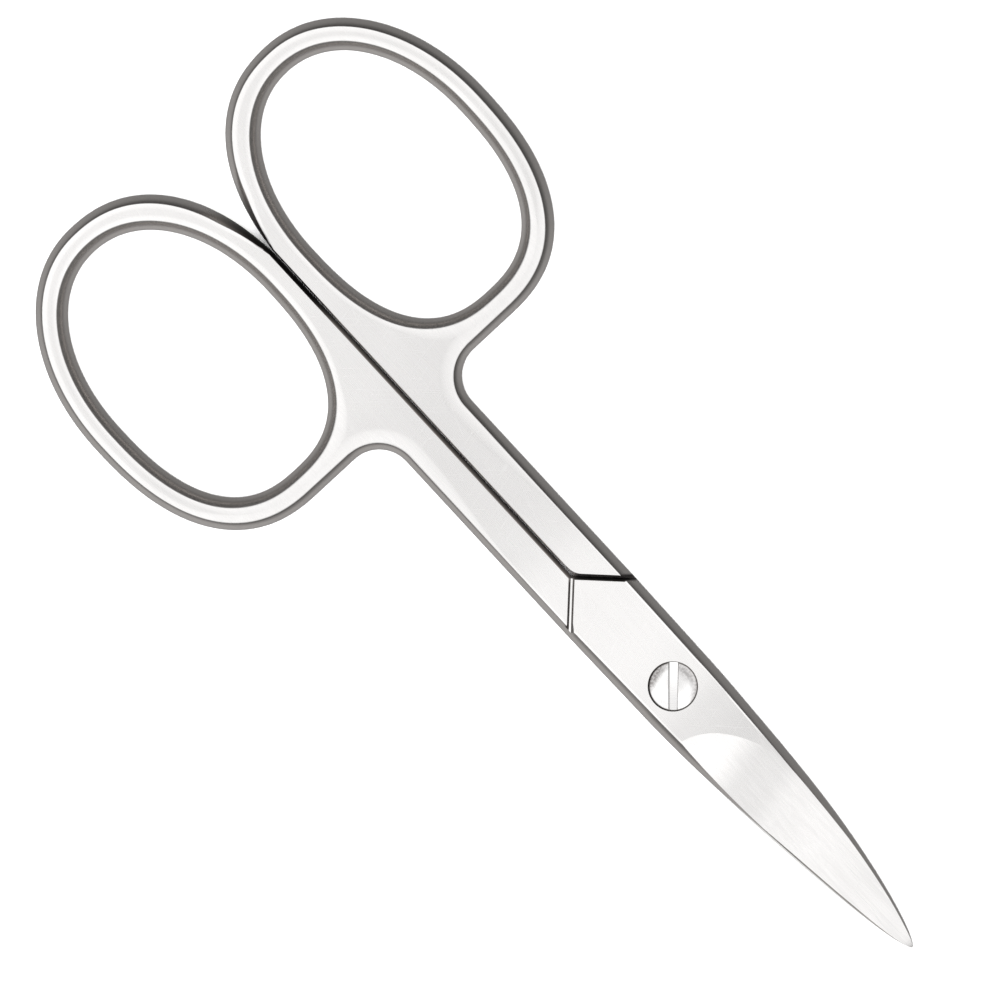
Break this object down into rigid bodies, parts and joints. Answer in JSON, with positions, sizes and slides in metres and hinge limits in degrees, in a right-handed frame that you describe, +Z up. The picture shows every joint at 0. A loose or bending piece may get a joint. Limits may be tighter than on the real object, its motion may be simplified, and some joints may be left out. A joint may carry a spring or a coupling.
{
  "type": "nail scissors",
  "caption": "Slim straight-bladed steel nail scissors with oval finger rings, a V-shouldered lap joint and a slotted pivot screw.",
  "frame": {"origin": "on the pivot screw's axis, in the plane of the underside that the scissors lie on", "axes": "+X from the pivot to the blade tips, +Y toward the lower half's finger ring, +Z up through the screw's slotted head; the rest pose is closed"},
  "size_m": [0.0903, 0.0438, 0.0031],
  "materials": {
    "upper_steel": "satin, fine lengthwise grain on the flat faces, smooth rounded flanks",
    "lower_steel": "satin, fine lengthwise grain on the flat faces, smooth rounded flanks",
    "screw_steel": "polished, slightly domed head with a straight slot"
  },
  "bodies": {
    "lower": {"lower_half": "lower_steel", "pivot_screw": "screw_steel"},
    "upper": {"upper_half": "upper_steel"}
  },
  "joints": [
    {"name": "blade_pivot", "type": "hinge", "parent": "lower", "child": "upper", "pos_m": [0, 0, 0], "axis": [0, 0, 1], "range_deg": [0, 135]}
  ]
}
